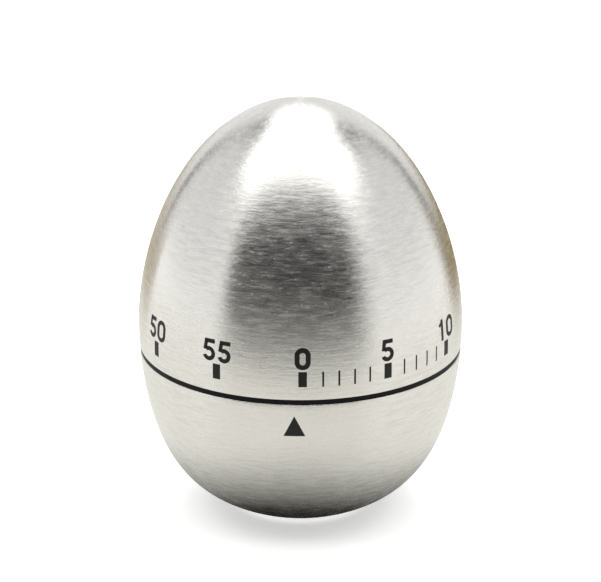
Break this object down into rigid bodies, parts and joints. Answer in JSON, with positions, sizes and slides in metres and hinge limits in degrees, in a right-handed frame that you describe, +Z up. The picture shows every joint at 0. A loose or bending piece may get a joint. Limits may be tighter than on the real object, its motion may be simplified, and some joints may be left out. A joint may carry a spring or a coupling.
{
  "type": "mechanical kitchen timer",
  "caption": "Egg-shaped wind-up kitchen timer: the steel upper half turns as the dial on a fixed lower half that holds the spring movement and the bell.",
  "frame": {"origin": "middle of the underside of the foot ring, on the surface that the timer stands on", "axes": "+Z up along the egg's axis, -Y towards the pointer and the front, +X to the right seen from the front"},
  "size_m": [0.06, 0.06, 0.0776],
  "materials": {
    "lower_shell": "stainless steel, satin, brushed round",
    "lower_housing": "black moulded ABS",
    "seam_ring": "black acetal",
    "base_plate": "black moulded ABS",
    "foot_ring": "soft black rubber",
    "base_screws": "steel, turned bright",
    "bell": "nickel plated pressed steel",
    "bell_screw": "steel, turned bright",
    "bottom_plate": "rolled brass sheet",
    "top_plate": "rolled brass sheet",
    "plate_pillars": "steel, turned bright",
    "plate_nuts": "steel, turned bright",
    "movement_screws": "steel, turned bright",
    "stop_post": "steel, turned bright",
    "upper_shell": "stainless steel, satin, brushed round",
    "upper_liner": "black moulded ABS",
    "main_arbor": "steel, turned bright",
    "main_wheel": "stamped brass",
    "clutch_spring": "phosphor bronze",
    "cam_disc": "stamped brass",
    "stop_pin": "steel, turned bright",
    "arbor_circlip": "steel, turned bright",
    "second_arbor": "steel, turned bright",
    "second_wheel": "stamped brass",
    "second_pinion": "steel, turned bright",
    "third_arbor": "steel, turned bright",
    "third_wheel": "stamped brass",
    "third_pinion": "steel, turned bright",
    "escape_arbor": "steel, turned bright",
    "escape_wheel": "stamped brass",
    "escape_pinion": "steel, turned bright",
    "balance_arbor": "steel, turned bright",
    "pallet_lever": "steel, turned bright",
    "pallet_pins": "steel, turned bright",
    "balance_bar": "cast brass",
    "spring_drum": "steel, turned bright",
    "drum_cover": "steel, turned bright",
    "mainspring": "blued spring steel",
    "idler_arbor": "steel, turned bright",
    "idler_wheel": "stamped brass",
    "idler_pinion": "steel, turned bright",
    "star_arbor": "steel, turned bright",
    "star_wheel": "stamped brass",
    "star_pinion": "steel, turned bright",
    "hammer_arbor": "steel, turned bright",
    "hammer_pallet": "steel, turned bright",
    "hammer_pins": "steel, turned bright",
    "hammer_arm": "steel, turned bright",
    "hammer_head": "turned brass",
    "hammer_finger": "steel, turned bright"
  },
  "bodies": {
    "base": {"lower_shell": "lower_shell", "lower_housing": "lower_housing", "seam_ring": "seam_ring", "base_plate": "base_plate", "foot_ring": "foot_ring", "base_screws": "base_screws", "bell": "bell", "bell_screw": "bell_screw", "bottom_plate": "bottom_plate", "top_plate": "top_plate", "plate_pillars": "plate_pillars", "plate_nuts": "plate_nuts", "movement_screws": "movement_screws", "stop_post": "stop_post"},
    "dial": {"upper_shell": "upper_shell", "upper_liner": "upper_liner", "main_arbor": "main_arbor", "main_wheel": "main_wheel", "clutch_spring": "clutch_spring", "cam_disc": "cam_disc", "stop_pin": "stop_pin", "arbor_circlip": "arbor_circlip"},
    "second": {"second_arbor": "second_arbor", "second_wheel": "second_wheel", "second_pinion": "second_pinion"},
    "third": {"third_arbor": "third_arbor", "third_wheel": "third_wheel", "third_pinion": "third_pinion"},
    "escape": {"escape_arbor": "escape_arbor", "escape_wheel": "escape_wheel", "escape_pinion": "escape_pinion"},
    "balance": {"balance_arbor": "balance_arbor", "pallet_lever": "pallet_lever", "pallet_pins": "pallet_pins", "balance_bar": "balance_bar"},
    "drum": {"spring_drum": "spring_drum", "drum_cover": "drum_cover", "mainspring": "mainspring"},
    "idler": {"idler_arbor": "idler_arbor", "idler_wheel": "idler_wheel", "idler_pinion": "idler_pinion"},
    "star": {"star_arbor": "star_arbor", "star_wheel": "star_wheel", "star_pinion": "star_pinion"},
    "hammer": {"hammer_arbor": "hammer_arbor", "hammer_pallet": "hammer_pallet", "hammer_pins": "hammer_pins", "hammer_arm": "hammer_arm", "hammer_head": "hammer_head", "hammer_finger": "hammer_finger"}
  },
  "joints": [
    {"name": "dial_turn", "type": "hinge", "parent": "base", "child": "dial", "pos_m": [0, 0, 0.0153], "axis": [0, 0, 1], "range_deg": [-350, 0]},
    {"name": "second_turn", "type": "hinge", "parent": "base", "child": "second", "pos_m": [0, 0.00904, 0.0153], "axis": [0, 0, 1], "range_deg": [0, 2800]},
    {"name": "third_turn", "type": "hinge", "parent": "base", "child": "third", "pos_m": [-0.00841, 0.00756, 0.0153], "axis": [0, 0, 1], "range_deg": [-21000, 0]},
    {"name": "escape_turn", "type": "hinge", "parent": "base", "child": "escape", "pos_m": [-0.01302, 0.00097, 0.0153], "axis": [0, 0, 1], "range_deg": [0, 147000]},
    {"name": "balance_swing", "type": "hinge", "parent": "base", "child": "balance", "pos_m": [-0.01378, -0.00334, 0.0153], "axis": [0, 0, 1], "range_deg": [-5, 5]},
    {"name": "drum_turn", "type": "hinge", "parent": "base", "child": "drum", "pos_m": [0, 0, 0.0153], "axis": [0, 0, 1], "range_deg": [0, 300]},
    {"name": "idler_turn", "type": "hinge", "parent": "base", "child": "idler", "pos_m": [0.00874, -0.00407, 0.0153], "axis": [0, 0, 1], "range_deg": [-2100, 0]},
    {"name": "star_turn", "type": "hinge", "parent": "base", "child": "star", "pos_m": [0.01176, -0.0093, 0.0153], "axis": [0, 0, 1], "range_deg": [0, 10500]},
    {"name": "hammer_swing", "type": "hinge", "parent": "base", "child": "hammer", "pos_m": [0.00814, -0.01107, 0.0153], "axis": [0, 0, 1], "range_deg": [-4, 4]}
  ],
  "couplings": [
    {"joint": "second_turn", "follows": "dial_turn", "ratio": -8},
    {"joint": "third_turn", "follows": "dial_turn", "ratio": 60},
    {"joint": "escape_turn", "follows": "dial_turn", "ratio": -420},
    {"joint": "idler_turn", "follows": "drum_turn", "ratio": -7},
    {"joint": "star_turn", "follows": "drum_turn", "ratio": 35}
  ]
}
